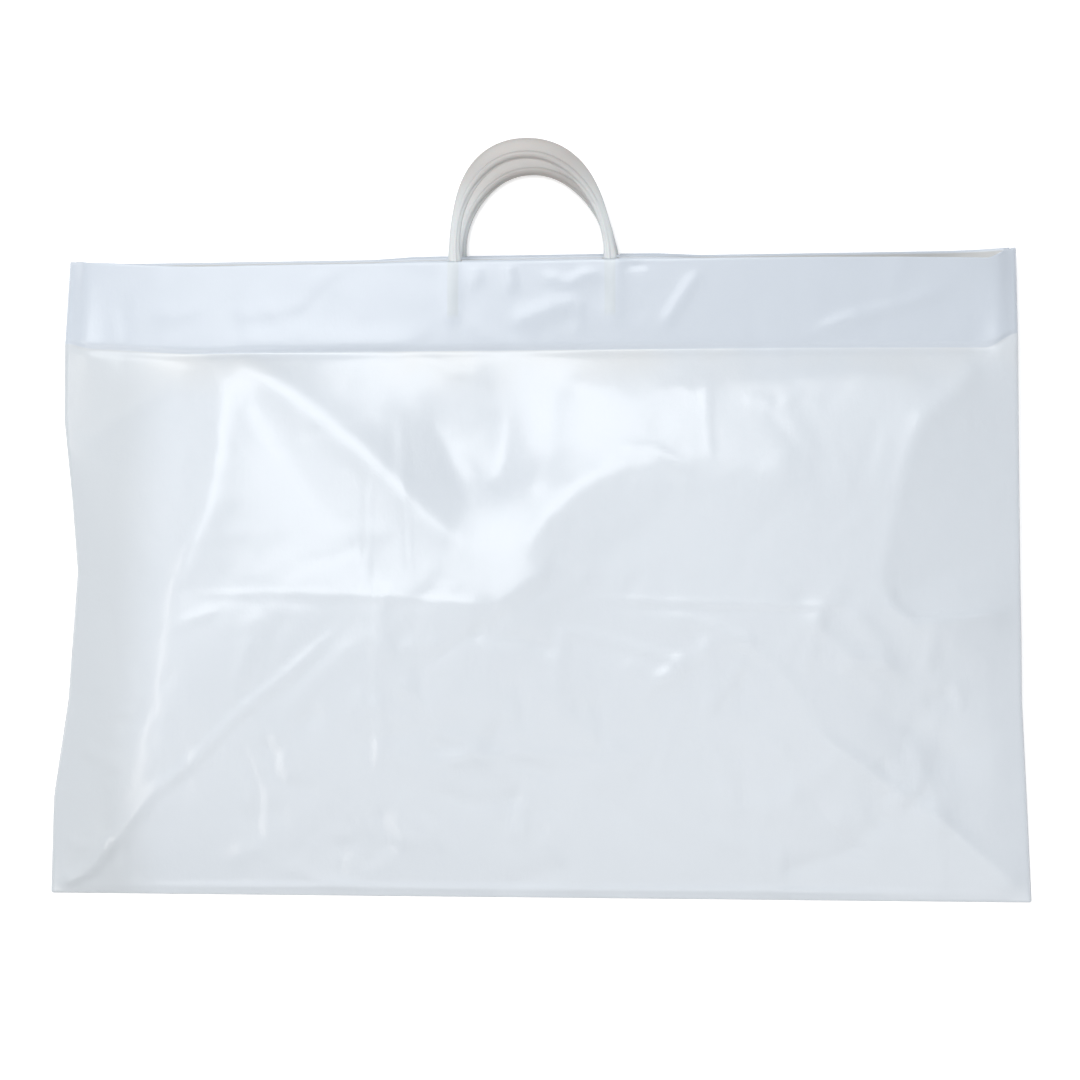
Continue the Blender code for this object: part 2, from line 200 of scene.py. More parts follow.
bpy.ops.object.select_all(action="DESELECT")
bpy.ops.mesh.primitive_plane_add(size=TABLE_SIDE, location=(0.0, 0.0, -TABLE_DROP))
table = bpy.context.object
table.name = "table"
graph = Graph(
    "table_top", Base_Color=TABLE_COLOUR, Roughness=0.9, Specular_IOR_Level=0.0,
    Emission_Color=(1.0, 1.0, 1.0, 1.0),
)
seen = graph.node("ShaderNodeLightPath", {}, {}, "Is Camera Ray")
for ray in ("Is Glossy Ray", "Is Transmission Ray"):
    seen = seen.most(graph.node("ShaderNodeLightPath", {}, {}, ray))
graph.feed("Emission Strength", seen * TABLE_GLOW)
table.data.materials.append(graph.material)
print("table:", TABLE_SIDE, "m wide")

# %% Light
WORLD_COLOUR, WORLD_STRENGTH = (0.965, 0.98, 1.0, 1.0), 0.48
# Name, place, width and height in metres, watts and colour.
LAMPS = (
    ("key", (-0.56, 1.18, 2.38), (1.6, 1.6), 35.5, (0.97, 0.985, 1.0)),
    ("left", (-1.48, -0.60, 1.95), (2.5, 0.3), 11.5, (1.0, 0.94, 0.87)),
    ("low", (0.55, -1.45, 2.0), (2.0, 2.0), 11.0, (1.0, 0.97, 0.93)),
)
for name, place, sides, power, colour in LAMPS:
    lamp = bpy.data.lights.new(name, "AREA")
    lamp.shape = "RECTANGLE"
    lamp.size, lamp.size_y = sides
    lamp.energy = power
    lamp.color = colour
    item = bpy.data.objects.new(name, lamp)
    bpy.context.scene.collection.objects.link(item)
    item.location = place
    item.rotation_euler = (-Vector(place)).to_track_quat("-Z", "Y").to_euler()

world = bpy.data.worlds.new("room")
bpy.context.scene.world = world
world.use_nodes = True
background = world.node_tree.nodes["Background"]
background.inputs["Color"].default_value = WORLD_COLOUR
background.inputs["Strength"].default_value = WORLD_STRENGTH
print("lamps:", [name for name, *_ in LAMPS])

# %% [markdown]
# ## The lie of the film
#
# Film that is folded, welded and puffed up by a little air is nearly flat sheet with soft creases. It
# could be left to a cloth simulation, but then its creases fall where they like. Here they are placed
# one by one: the sheet is held along its ridges and valleys and pulled tight between them, as a membrane
# is. All lengths are millimetres until the mesh is made. The named sizes are those of the solids, apart
# from the tilt of the hem, which is too small for them and only shows in the light on it.

# %% Sizes of the bag
WIDTH, HEIGHT, HEM = 600.0, 400.0, 55.0
WALL = 0.4
# The height of the air, of the mouth and of the seams, and the radius of the folds at the seams.
PUFF, MOUTH_Z, SEAM_LIFT, EDGE = 42.0, 25.0, 15.0, 0.8
# How far the front edge of the mouth hangs back, and how far in from the seams it gets there.
TOP_SAG, SAG_NEAR, SAG_FAR, SAG_RIGHT = 9.0, 18.0, 95.0, 20.0
# How far in from the seams the rear panel lies flat on the table.
REAR_CURL = 48.0
# The pocket of a hem: the room for a stem near the middle, and the gap between the plies further out.
STEM_THICKNESS, STEM_ROOM, PLY_GAP = 2.6, 0.4, 0.7
HANDLE_ZONE, HANDLE_ZONE_BLEND = 72.75, 35.0
# The step at the hem line where the second ply ends, and the groove below it.
HEM_STEP, HEM_STEP_WIDTH = 0.8, 2.5
GROOVE, GROOVE_WIDTH, GROOVE_BELOW = 0.8, 3.0, 1.0
# How much the hem rises up to the mouth, at the left and at the right, and the share of it that stays put.
HEM_TILT_LEFT, HEM_TILT_RIGHT, HEM_PIVOT = 3.0, 6.0, 0.7
# How far in from either seam the hem rises: first steeply, then gently.
RISE_LEFT, RISE_RIGHT = (16.0, 150.0), (14.0, 210.0)
# How far the front and the rear loop stand to the right of the middle.
FRONT_SHIFT, REAR_SHIFT = 0.0, 1.0

BOTTOM, TOP = -HEIGHT / 2, HEIGHT / 2
HEM_LINE = TOP - HEM
# How far each seam is pulled in, and its share of SEAM_LIFT, from the bottom fold (0) to the mouth (1).
LEFT_PULL = ((0, 0), (0.15, 1), (0.3, 9), (0.5, 13), (0.62, 8), (0.74, 2), (1, 0))
RIGHT_PULL = ((0, 0), (0.3, 4), (0.5, 3.5), (0.7, 2.5), (1, 0.5))
LEFT_LIFT = ((0, 0), (0.12, 0.25), (0.35, 0.55), (0.6, 0.75), (0.86, 1), (1, 0.5))
RIGHT_LIFT = ((0, 0), (0.15, 0.3), (0.4, 0.7), (0.65, 0.75), (0.86, 0.8), (1, 0.45))
print("flat bag:", WIDTH, "x", HEIGHT, "mm with a hem of", HEM, "mm")


# %% Curves
def read(points, at):
    """Read a list of (place, value) points."""
    return np.interp(at, [p for p, _ in points], [v for _, v in points])


def smooth(value):
    clamped = np.clip(value, 0.0, 1.0)
    return clamped * clamped * (3 - 2 * clamped)


def ease_out(value):
    return 1 - (1 - np.clip(value, 0.0, 1.0)) ** 2


print("halfway:", float(smooth(0.5)), "with smooth and", float(ease_out(0.5)), "with ease_out")


# %% Seams and mouth
def seam_z(up, lift):
    return EDGE + SEAM_LIFT * read(lift, up)


def nearer_seam_z(across, up):
    return np.where(across < 0.5, seam_z(up, LEFT_LIFT), seam_z(up, RIGHT_LIFT))


def seams_x(up):
    """x of the left and of the right seam."""
    return -WIDTH / 2 + read(LEFT_PULL, up), WIDTH / 2 - read(RIGHT_PULL, up)


def top_y(across):
    """y of the front edge of the mouth."""
    sag_left = 0.4 * smooth(across * WIDTH / SAG_NEAR) + 0.6 * smooth(across * WIDTH / SAG_FAR)
    return TOP - TOP_SAG * sag_left * smooth((1 - across) * WIDTH / SAG_RIGHT)


def ply_step(x):
    """From a face of the outer ply of a hem to the same face of the turned-in ply."""
    pocket = STEM_THICKNESS + 2 * STEM_ROOM
    beyond = (abs(x) - HANDLE_ZONE) / HANDLE_ZONE_BLEND
    return 2 * WALL + pocket + (PLY_GAP - pocket) * smooth(beyond)


print("mouth at the middle: y", round(float(top_y(0.5)), 1), "mm")


# %% Hem
def hem_tilt(across):
    """How much the front hem rises from the hem line to the mouth."""
    return HEM_TILT_LEFT + (HEM_TILT_RIGHT - HEM_TILT_LEFT) * smooth(across * 2 - 0.6)


def hem_z(across, up_hem):
    """Height of the front hem, from the hem line (0) to the mouth (1)."""
    up = 1 - (1 - up_hem) * HEM / HEIGHT
    from_left, from_right = across * WIDTH, (1 - across) * WIDTH
    left_rise = 0.5 * smooth(from_left / RISE_LEFT[0]) + 0.5 * ease_out(from_left / RISE_LEFT[1])
    right_rise = 0.3 * smooth(from_right / RISE_RIGHT[0]) + 0.7 * ease_out(from_right / RISE_RIGHT[1])
    edge = nearer_seam_z(across, up) + EDGE
    step = HEM_STEP * np.minimum(up_hem * HEM / HEM_STEP_WIDTH, 1.0)
    tilt = hem_tilt(across) * (up_hem - HEM_PIVOT)
    calm = smooth(np.minimum(from_left, from_right) / 30)
    return edge + (MOUTH_Z - edge) * np.minimum(left_rise, right_rise) + step + tilt * calm


print("hem at the middle:", [round(float(hem_z(0.5, share)), 1) for share in (0.0, 1.0)], "mm high")

# %% Ridges and valleys
# Each point: share of the width from the left seam, share of the way from the bottom fold to the hem
# line, and height as a share of PUFF.
RIDGES = {
    "left_ridge": (
        (0.163, 0.99, 0.66), (0.178, 0.94, 0.76), (0.183, 0.89, 0.82), (0.175, 0.78, 0.94),
        (0.159, 0.69, 0.99), (0.135, 0.61, 1.00), (0.117, 0.55, 1.00), (0.119, 0.49, 1.00),
        (0.116, 0.43, 0.99), (0.113, 0.37, 0.97), (0.101, 0.25, 0.85), (0.088, 0.18, 0.69),
        (0.075, 0.12, 0.50), (0.040, 0.06, 0.26), (0.010, 0.02, 0.14),
    ),
    "left_cheek": ((0.020, 0.83, 0.37), (0.080, 0.90, 0.48), (0.130, 0.96, 0.57)),
    "left_low": ((0.030, 0.50, 0.49), (0.045, 0.35, 0.57), (0.050, 0.20, 0.49)),
    "fan_ridge": (
        (0.189, 0.99, 0.70), (0.225, 0.95, 0.78), (0.284, 0.87, 0.84), (0.329, 0.80, 0.87),
        (0.361, 0.74, 0.885), (0.384, 0.69, 0.895), (0.423, 0.63, 0.895), (0.456, 0.62, 0.90),
    ),
    "fan_slope": (
        (0.205, 0.90, 0.73), (0.232, 0.82, 0.78), (0.270, 0.72, 0.805), (0.300, 0.645, 0.835),
        (0.335, 0.575, 0.865),
    ),
    "storage_fold": (
        (0.120, 0.54, 0.98), (0.220, 0.545, 0.92), (0.326, 0.54, 0.89), (0.400, 0.53, 0.94),
        (0.447, 0.52, 0.95), (0.467, 0.53, 0.96), (0.487, 0.555, 0.96), (0.507, 0.58, 0.95),
    ),
    "left_hip": (
        (0.010, 0.02, 0.12), (0.074, 0.10, 0.43), (0.118, 0.19, 0.63), (0.153, 0.24, 0.70),
        (0.198, 0.33, 0.78), (0.247, 0.40, 0.835), (0.307, 0.50, 0.87),
    ),
    "left_crest": ((0.300, 0.44, 0.87), (0.360, 0.465, 0.87), (0.430, 0.47, 0.90)),
    "bowl_floor": (
        (0.440, 0.975, 0.555), (0.462, 0.92, 0.51), (0.473, 0.86, 0.49), (0.469, 0.80, 0.50),
        (0.461, 0.755, 0.57), (0.452, 0.71, 0.73),
    ),
    "bowl_deep": (
        (0.385, 0.93, 0.60), (0.398, 0.87, 0.56), (0.412, 0.81, 0.55), (0.424, 0.76, 0.60),
        (0.430, 0.72, 0.71),
    ),
    "bowl_middle": (
        (0.420, 0.95, 0.56), (0.434, 0.90, 0.535), (0.443, 0.84, 0.52), (0.445, 0.79, 0.535),
        (0.444, 0.75, 0.59),
    ),
    "bowl_lip": ((0.522, 0.94, 0.575), (0.524, 0.87, 0.605), (0.518, 0.80, 0.69), (0.500, 0.74, 0.82)),
    "valley": (
        (0.457, 0.455, 0.88), (0.475, 0.49, 0.89), (0.497, 0.53, 0.89), (0.520, 0.585, 0.885),
        (0.543, 0.64, 0.885), (0.592, 0.70, 0.895), (0.645, 0.735, 0.905), (0.700, 0.755, 0.905),
        (0.760, 0.75, 0.895),
    ),
    "valley_top": (
        (0.492, 0.62, 0.94), (0.512, 0.68, 0.945), (0.555, 0.745, 0.935), (0.610, 0.785, 0.92),
        (0.680, 0.80, 0.895), (0.760, 0.79, 0.88),
    ),
    "valley_low": ((0.560, 0.60, 0.84), (0.620, 0.665, 0.875), (0.690, 0.70, 0.895)),
    "hump": (
        (0.545, 0.93, 0.67), (0.600, 0.90, 0.74), (0.680, 0.92, 0.735), (0.760, 0.93, 0.72),
        (0.840, 0.94, 0.70), (0.900, 0.93, 0.66),
    ),
    "right_fold": (
        (0.526, 0.52, 0.83), (0.570, 0.535, 0.81), (0.618, 0.53, 0.83), (0.700, 0.525, 0.86),
        (0.771, 0.52, 0.85), (0.850, 0.52, 0.77),
    ),
    "low_arc": (
        (0.371, 0.23, 0.61), (0.430, 0.255, 0.61), (0.489, 0.26, 0.59), (0.540, 0.255, 0.56),
        (0.595, 0.23, 0.51), (0.633, 0.21, 0.48),
    ),
    "middle_arc": (
        (0.521, 0.48, 0.79), (0.553, 0.475, 0.77), (0.585, 0.46, 0.75), (0.647, 0.43, 0.77),
        (0.678, 0.39, 0.74),
    ),
    "upper_arc": (
        (0.646, 0.50, 0.85), (0.680, 0.49, 0.82), (0.717, 0.46, 0.81), (0.750, 0.41, 0.77),
        (0.778, 0.35, 0.71),
    ),
    "right_hip": (
        (0.778, 0.35, 0.71), (0.794, 0.29, 0.61), (0.850, 0.215, 0.47), (0.915, 0.14, 0.35),
        (0.950, 0.08, 0.24), (0.980, 0.03, 0.16),
    ),
    "right_side": ((0.900, 0.42, 0.57), (0.955, 0.36, 0.38), (0.970, 0.22, 0.27)),
    "right_side_low": ((0.860, 0.33, 0.52), (0.920, 0.27, 0.34), (0.960, 0.14, 0.26)),
    "right_ridge": (
        (0.950, 0.96, 0.51), (0.934, 0.92, 0.62), (0.899, 0.86, 0.74), (0.881, 0.78, 0.76),
        (0.867, 0.68, 0.75), (0.856, 0.60, 0.77), (0.853, 0.54, 0.76), (0.860, 0.507, 0.74),
        (0.886, 0.481, 0.685), (0.931, 0.490, 0.60), (0.975, 0.500, 0.46),
    ),
    "right_cheek": ((0.872, 0.540, 0.69), (0.905, 0.562, 0.595), (0.937, 0.585, 0.51), (0.978, 0.620, 0.38)),
}
print(len(RIDGES), "ridges and valleys")

# %% Air
# The air inside bulges some facets out, and others are drawn in between their ridges. Each entry: the
# span across, the span up the panel, and the push in hundredths of a millimetre per square centimetre.
AIR = (
    ((0.00, 0.13), (0.00, 1.01), 8.2),
    ((0.13, 0.36), (0.54, 1.01), -2.0),
    ((0.36, 0.47), (0.66, 1.01), -1.0),
    ((0.47, 0.87), (0.52, 1.01), 1.8),
    ((0.87, 1.01), (0.00, 1.01), 1.8),
    ((0.13, 0.87), (0.00, 0.52), 4.2),
    ((0.12, 0.30), (0.28, 0.54), 7.0),
)
print("facets that bulge:", sum(push > 0 for *_, push in AIR), "of", len(AIR))

# %% [markdown]
# The sheet is worked out on a grid, first a coarse one and then finer ones that start from it. On each
# pass every free point moves to the mean of its four neighbours, so the sheet ends up taut between
# what is held. A few soft passes at the end round the crests, because film doesn't fold to a point
# where nothing presses it. The left ridge gets many more in its lower half, where the film rolls over.

# %% Helpers of the sheet
COLUMNS, ROWS = 220, 125
# Each grid: what the columns and rows are divided by, and the passes on it.
GRIDS = ((4, 900), (2, 500), (1, 400))
LINE_SAMPLES, CREST_PASSES = 120, 5


def neighbours(sheet):
    return (sheet[:-2, 1:-1] + sheet[2:, 1:-1] + sheet[1:-1, :-2] + sheet[1:-1, 2:]) / 4


def air_push(across, up_body):
    """How far the air moves each point on one pass, in millimetres."""
    cell = (across[1] - across[0]) * WIDTH * (up_body[1] - up_body[0]) * (HEIGHT - HEM) / 100
    push = np.zeros((len(up_body), len(across)))
    for (left, right), (low, high), strength in AIR:
        rows = (up_body >= low) & (up_body < high)
        columns = (across >= left) & (across < right)
        push[np.ix_(rows, columns)] += strength * 0.01 * cell
    return push


def finer(sheet, columns, rows):
    """The same sheet read at more points."""
    old_rows = np.linspace(0, 1, sheet.shape[0])
    old_columns = np.linspace(0, 1, sheet.shape[1])
    wide = np.array([np.interp(np.linspace(0, 1, columns + 1), old_columns, row) for row in sheet])
    tall = [np.interp(np.linspace(0, 1, rows + 1), old_rows, column) for column in wide.T]
    return np.array(tall).T


def softened(sheet, passes):
    sheet = sheet.copy()
    for _ in range(passes):
        sheet[1:-1, 1:-1] = (sheet[1:-1, 1:-1] + neighbours(sheet)) / 2
    return sheet


print("grids:", [(COLUMNS // divisor, ROWS // divisor) for divisor, _ in GRIDS])


# %% Pull the sheet tight
def taut_sheet(columns, rows, start, passes):
    across = np.linspace(0, 1, columns + 1)
    up = np.linspace(0, 1 - HEM / HEIGHT, rows + 1)
    sheet = start.copy()
    held = np.zeros(sheet.shape, dtype=bool)
    for points in RIDGES.values():
        for (u0, v0, h0), (u1, v1, h1) in zip(points, points[1:]):
            for step in np.linspace(0, 1, LINE_SAMPLES):
                column = round((u0 + (u1 - u0) * step) * columns)
                row = round((v0 + (v1 - v0) * step) * rows)
                sheet[row, column] = (h0 + (h1 - h0) * step) * PUFF
                held[row, column] = True
    sheet[:, 0] = seam_z(up, LEFT_LIFT) + EDGE
    sheet[:, -1] = seam_z(up, RIGHT_LIFT) + EDGE
    sheet[0, :] = 2 * EDGE
    sheet[-1, :] = hem_z(across, 0.0)
    push = air_push(across, np.linspace(0, 1, rows + 1))[1:-1, 1:-1]
    free = ~held[1:-1, 1:-1]
    for _ in range(passes):
        sheet[1:-1, 1:-1][free] = (neighbours(sheet) + push)[free]
    return sheet


sheet = np.full((ROWS // GRIDS[0][0] + 1, COLUMNS // GRIDS[0][0] + 1), PUFF / 2)
for divisor, passes in GRIDS:
    columns, rows = COLUMNS // divisor, ROWS // divisor
    sheet = taut_sheet(columns, rows, finer(sheet, columns, rows), passes)
sheet = softened(sheet, CREST_PASSES)
print("crests up to", round(float(sheet.max()), 1), "mm")

# %% Roll the left ridge over
ROLL_PASSES, ROLL_REACH = 110, 34.0
# The least share of the roll, the share up the panel where it grows, and over how much of it.
ROLL_LEAST, ROLL_TOP, ROLL_BLEND = 0.3, 0.62, 0.12


def rolled(sheet, name):
    """The sheet with one ridge rolled over softly, most of all in its lower half."""
    ridge = sorted((v, u) for u, v, _ in RIDGES[name])
    up_body = np.linspace(0, 1, ROWS + 1)[:, None]
    gap = np.abs(np.linspace(0, 1, COLUMNS + 1) - read(ridge, up_body)) * WIDTH
    share = ROLL_LEAST + (1 - ROLL_LEAST) * smooth((ROLL_TOP - up_body) / ROLL_BLEND)
    weight = np.exp(-((gap / ROLL_REACH) ** 2)) * share
    return sheet + (softened(sheet, ROLL_PASSES) - sheet) * weight


sheet = np.minimum(rolled(sheet, "left_ridge"), PUFF)
print("front panel from", round(float(sheet.min()), 1), "to", round(float(sheet.max()), 1), "mm high")

# %% [markdown]
# ## Pleats
#
# On top of the broad facets the film carries narrow pleats: the fold lines from when it lay folded in
# its carton, small tension creases and the ridges where the stems of the loops lie inside the hem.
# Each one is a line of points with a height and a width, and rises like a soft wave beside its line.

# %% Pleats of the front panel
# A crest follows one of the ridges above. Name: height and half width in millimetres.
CRESTS = {
    "left_ridge": (0.9, 12.0),
    "fan_ridge": (0.6, 12.0),
    "left_hip": (1.5, 3.6),
    "right_hip": (1.1, 4.0),
    "right_ridge": (0.35, 5.0),
    "storage_fold": (0.22, 2.4),
    "right_fold": (0.3, 2.6),
}
# The other pleats. Name: height, half width, and the points of the line.
PLEATS = {
    "fold_shadow_left": (-0.05, 2.4, ((-215, -22), (-150, -23), (-99, -23.5), (-60, -26), (-30, -30))),
    "fold_shadow_right": (-0.2, 2.4, ((40, -28), (73, -27), (120, -28), (163, -29), (210, -27))),
    "wedge_lip": (1.3, 3.2, ((214, -8), (217, -24), (231, -34), (258, -31.5), (289, -27))),
    "corner_curl": (2.6, 3.6, ((-296, -195), (-284, -191), (-272, -184), (-262, -174), (-258, -164))),
    "corner_dent": (0.8, 3.2, ((-291, -166), (-280, -171), (-268, -170))),
    "bottom_lip": (1.1, 2.4, ((-280, -195.5), (-150, -194.5), (0, -194.8), (150, -194.5), (280, -195.5))),
    "left_stem": (0.7, 5.0, ((-50.5, 196), (-50.5, 150))),
    "right_stem": (0.7, 5.0, ((52.0, 196), (52.0, 150))),
    "upright_left": (0.45, 2.5, ((-100, 69), (-99, 20), (-99, -21), (-94, -45), (-92, -90), (-90, -145))),
    "upright_middle": (0.45, 2.5, ((-81, 94), (-76, 40), (-71, -15))),
    "upright_right": (0.4, 2.6, ((106, 120), (108, 90), (110, 60))),
    "low_arc": (0.75, 3.4, ((-75, -124), (-40, -116), (-5, -113), (30, -115), (57, -122), (80, -131))),
    "middle_arc": (0.7, 3.0, ((10, -36), (16, -38), (53, -46), (89, -57), (107, -70))),
    "upper_arc": (0.7, 3.2, ((89, -32), (115, -37), (130, -45), (150, -62), (166, -84))),
    "small_a": (0.6, 2.8, ((51, 74), (76, 71), (90, 62), (100, 54))),
    "small_b": (0.4, 2.6, ((88, 112), (96, 108), (100, 102))),
    "small_c": (0.4, 2.6, ((129, 102), (140, 102), (149, 98))),
    "small_d": (0.4, 2.6, ((152, 98), (160, 104), (167, 107))),
    "hem_swell_left": (0.8, 8.0, ((-200, 144), (-150, 142), (-95, 141), (-62, 142))),
    "hem_hollow": (0.8, 6.0, ((-14, 152), (8, 160), (33, 167))),
    "hem_crease": (0.45, 2.8, ((29, 145), (29, 157), (31, 167))),
    "hem_glint_a": (0.8, 3.0, ((-15, 190), (-12, 172))),
    "hem_glint_b": (0.6, 2.8, ((-35, 189), (-34, 176))),
    "hem_glint_c": (0.7, 3.4, ((6, 184), (22, 177), (34, 183), (44, 180))),
    "hem_streak": (0.8, 4.0, ((104, 184), (92, 166), (80, 147))),
    "hem_diagonal": (0.9, 4.0, ((166, 142), (194, 153), (221, 160), (262, 174))),
    "stem_pinch": (-0.6, 2.6, ((56, 187.5), (71, 187.5))),
}
print(len(CRESTS), "crests and", len(PLEATS), "other pleats")


# %% Height of a pleat
PLEAT_FADE = 0.2


def along_line(x, y, points):
    """Distance from a line of points, and the share of the way along it of the nearest place."""
    line = np.array(points, float)
    lengths = np.hypot(*np.diff(line, axis=0).T)
    before = np.concatenate([[0], np.cumsum(lengths)])
    best = np.full(np.shape(x), 1e9)
    share = np.zeros(np.shape(x))
    for (start, end, length, gone) in zip(line, line[1:], lengths, before):
        step = (end - start) / length
        t = np.clip((x - start[0]) * step[0] + (y - start[1]) * step[1], 0, length)
        gap = np.hypot(x - start[0] - step[0] * t, y - start[1] - step[1] * t)
        nearer = gap < best
        best = np.where(nearer, gap, best)
        share = np.where(nearer, (gone + t) / before[-1], share)
    return best, share


def pleat_height(x, y, height, width, points):
    """A soft wave across the line, which fades towards its two ends."""
    gap, share = along_line(x, y, points)
    ends = smooth(share / PLEAT_FADE) * smooth((1 - share) / PLEAT_FADE) * 0.9 + 0.1
    return height * ends * np.exp(-((gap / width) ** 2))


middle_arc = PLEATS["middle_arc"]
print("middle arc at its middle:", round(float(pleat_height(53.0, -46.0, *middle_arc)), 2), "mm")

# %% [markdown]
# Handling leaves many short faint creases. They could come from a bump in the material, but then they
# would be gone in the mesh, so they are pleats too. They are drawn by chance with a fixed seed, mostly
# straight or at 45 degrees as in the real film, and stronger in the lower half.

# %% Crumples
CRUMPLE_COUNT, CRUMPLE_SEED, CRUMPLE_HEIGHT = 300, 7, 0.27
# How much stronger they are low down, where that starts in y, and over how many millimetres it grows.
LOW_CRUMPLES, LOW_START, LOW_BLEND = 2.6, -10.0, 30.0


def crumples(x, y):
    """Many short faint pleats, as handling leaves them."""
    chance = np.random.default_rng(CRUMPLE_SEED)
    total = np.zeros(np.shape(x))
    for _ in range(CRUMPLE_COUNT):
        place = chance.uniform((-270, -190), (270, 190))
        turn = chance.choice([0.0, math.pi / 2, math.pi / 4, -math.pi / 4]) + chance.normal(0, 0.35)
        half = chance.uniform(8, 35)
        bend = chance.normal(0, 0.15)
        direction = np.array([math.cos(turn), math.sin(turn)])
        side = np.array([-direction[1], direction[0]])
        points = [place - direction * half, place + side * half * bend, place + direction * half]
        height = chance.uniform(0.3, 1.0) * chance.choice([-1, 1]) * CRUMPLE_HEIGHT
        height *= 1.0 + LOW_CRUMPLES * float(smooth((LOW_START - place[1]) / LOW_BLEND))
        total += pleat_height(x, y, height, chance.uniform(3.4, 7.0), points)
    return total


print(CRUMPLE_COUNT, "crumples")


# %% Crests on the panel
def row_y(up_body, up_hem, hem_line=HEM_LINE):
    """y of a row, from its share of the body and of the hem."""
    return BOTTOM + EDGE + up_body * (hem_line - BOTTOM - EDGE) + up_hem * HEM


def panel_place(across, up_body):
    """x and y on the front panel, from the shares across and up it."""
    left, right = seams_x((row_y(up_body, 0.0) - BOTTOM) / HEIGHT)
    return left + across * (right - left), row_y(up_body, 0.0, top_y(across) - HEM)


for name, (height, width) in CRESTS.items():
    line = [tuple(float(value) for value in panel_place(u, v)) for u, v, _ in RIDGES[name]]
    PLEATS[name + "_crest"] = (height, width, line)
print(len(PLEATS), "pleats")

# %% [markdown]
# ## The film as one closed skin
#
# The web is a stack of rings. Each ring runs along the front panel from the left seam to the right
# one and back along the rear panel. The rings climb from the bottom fold to the mouth, turn over, and
# run down again inside as the second ply of the hem. The front panel has many columns because it
# carries the look, and the rear one has few because it lies flat. Solidify then gives the web its
# thickness.

# %% Rows and columns
# Rows of the body in millimetres from the bottom fold: close together at the fold, along the crease
# across the middle and at the hem line, where the film turns sharply.
BODY_STEPS = ((0.0, 10.0, 8), (10.0, 172.0, 50), (172.0, 198.0, 18), (198.0, 333.0, 42), (333.0, 345.0, 10))
HEM_STEPS = ((0.0, 5.0, 4), (5.0, 47.0, 13), (47.0, 55.0, 6))
# The middles of the two stems of a loop, and half the slot in the fold that each one passes through.
STRAND_MIDDLES, SLOT_HALF = (-48.75, 48.75), 4.4
# Columns of the rear panel: some near each seam, even ones between, and the sides of the slots.
REAR_CROSSING, REAR_EVEN = (4.0, 8.0, 14.0, 24.0), 46
# Degrees of the fold at the mouth, rows of the inner ply, and where it stops short of the seam.
FOLD_TURNS, INNER_ROWS, INNER_STOP = (30, 60, 90, 120, 150), 7, 5.5


def stepped(steps, whole):
    """Shares of a length, from spans that are each cut into equal steps."""
    marks = [low + (high - low) * k / count for low, high, count in steps for k in range(count)]
    return [mark / whole for mark in marks] + [1.0]


slot_sides = [strand + side * SLOT_HALF + REAR_SHIFT for strand in STRAND_MIDDLES for side in (-1, 1)]
near_left = [place / WIDTH for place in REAR_CROSSING]
even = [k / REAR_EVEN for k in range(3, REAR_EVEN - 2)]
at_slots = [0.5 + side / WIDTH for side in slot_sides]
REAR_ACROSS = np.array(sorted(near_left + even + at_slots + [1 - place for place in near_left]))
REAR_COLUMNS = len(REAR_ACROSS) + 1
print(COLUMNS, "columns in front and", REAR_COLUMNS, "behind")


# %% Points of the two panels
def panel_z(across, up_body):
    """The height of the taut sheet, read between its grid points."""
    at = up_body * ROWS
    low = min(int(at), ROWS - 1)
    row = sheet[low] + (sheet[low + 1] - sheet[low]) * (at - low)
    return np.interp(across, np.linspace(0, 1, COLUMNS + 1), row)


def front_points(across, up_body, up_hem, inner):
    """x, y and z along the front panel at one level. The stems of the loop only lift the outer ply."""
    left, right = seams_x((row_y(up_body, up_hem) - BOTTOM) / HEIGHT)
    x = left + across * (right - left)
    hem_y = top_y(across) - HEM
    y = row_y(up_body, up_hem, hem_y)
    z = hem_z(across, up_hem) if up_hem > 0 else panel_z(across, up_body)
    calm = smooth(np.minimum(across, 1 - across) * WIDTH / 12) * smooth((y - BOTTOM) / 3)
    felt = [pleat for name, pleat in PLEATS.items() if not (inner and name.endswith("_stem"))]
    pleats = sum(pleat_height(x, y, *pleat) for pleat in felt)
    pleats = pleats + crumples(x, y)
    pleats = pleats - GROOVE * np.exp(-(((y - hem_y + GROOVE_BELOW) / GROOVE_WIDTH) ** 2))
    return x, y, z + pleats * calm


def rear_points(across, up_body, up_hem):
    """The rear panel lies flat, and curls up to the seams at its two sides."""
    y = row_y(up_body, up_hem)
    up = (y - BOTTOM) / HEIGHT
    left, right = seams_x(up)
    x = left + across * (right - left)
    lift = nearer_seam_z(across, up) - EDGE
    inwards = np.minimum(x - left, right - x) / REAR_CURL
    return x, np.full(x.shape, y), lift * np.maximum(1 - inwards, 0) ** 2


top_of_front = front_points(np.array([0.5]), 1.0, 1.0, False)
print("middle of the mouth:", [round(float(value[0]), 1) for value in top_of_front], "mm")


# %% Rings
def level(up_body, up_hem, inner=False):
    """One ring as an array of points, each with its x, y and z."""
    rear_y = row_y(up_body, up_hem)
    up = (rear_y - BOTTOM) / HEIGHT
    left, right = seams_x(up)
    edge = 1.2 * EDGE / (right - left)
    front_across = np.concatenate([[edge], np.arange(1, COLUMNS) / COLUMNS, [1 - edge]])
    rear_across = np.concatenate([[edge], REAR_ACROSS, [1 - edge]])[::-1]
    fx, fy, fz = front_points(front_across, up_body, up_hem, inner)
    rx, ry, rz = rear_points(rear_across, up_body, up_hem)
    if inner:
        fz = fz - ply_step(fx)
        rz = rz + ply_step(rx)
    x = np.concatenate([[left], fx, [right], rx])
    y = np.concatenate([[rear_y], fy, [rear_y], ry])
    z = np.concatenate([[seam_z(up, LEFT_LIFT)], fz, [seam_z(up, RIGHT_LIFT)], rz])
    return np.stack([x, y, z], axis=1)


